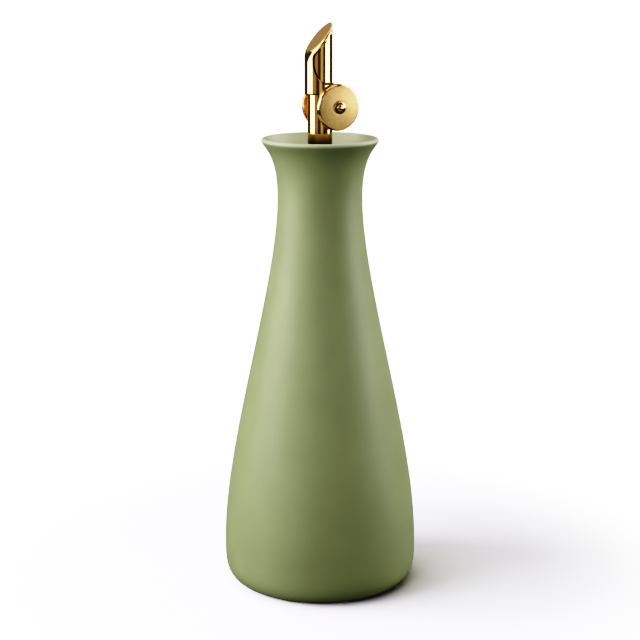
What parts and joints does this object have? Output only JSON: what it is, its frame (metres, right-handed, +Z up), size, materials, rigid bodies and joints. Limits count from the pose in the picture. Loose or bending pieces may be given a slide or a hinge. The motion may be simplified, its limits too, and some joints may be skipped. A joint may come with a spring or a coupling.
{
  "type": "ceramic oil dispenser",
  "caption": "Flared ceramic oil bottle with a stopper and a metal pour tube whose counterweighted flap opens when the bottle is tipped.",
  "frame": {"origin": "centre of the bottle's foot, on the surface it stands on", "axes": "+Z up along the bottle's axis, +X the way it pours, Y along the flap's hinge"},
  "size_m": [0.0902, 0.0902, 0.2599],
  "materials": {
    "ceramic": "satin matt sage-green glaze",
    "stopper_rubber": "matt",
    "tube_metal": "polished gold",
    "flap_metal": "polished gold",
    "weight_metal": "satin gold faces, polished edge",
    "rivet_metal": "polished gold"
  },
  "bodies": {
    "dispenser": {"bottle": "ceramic", "stopper": "stopper_rubber", "pour_tube": "tube_metal"},
    "flap": {"flap": "flap_metal", "weight_near": "weight_metal", "weight_far": "weight_metal", "rivet_near": "rivet_metal", "rivet_far": "rivet_metal"}
  },
  "joints": [
    {"name": "flap_hinge", "type": "hinge", "parent": "dispenser", "child": "flap", "pos_m": [0, 0, 0.225], "axis": [0, -1, 0], "range_deg": [0, 60]}
  ]
}
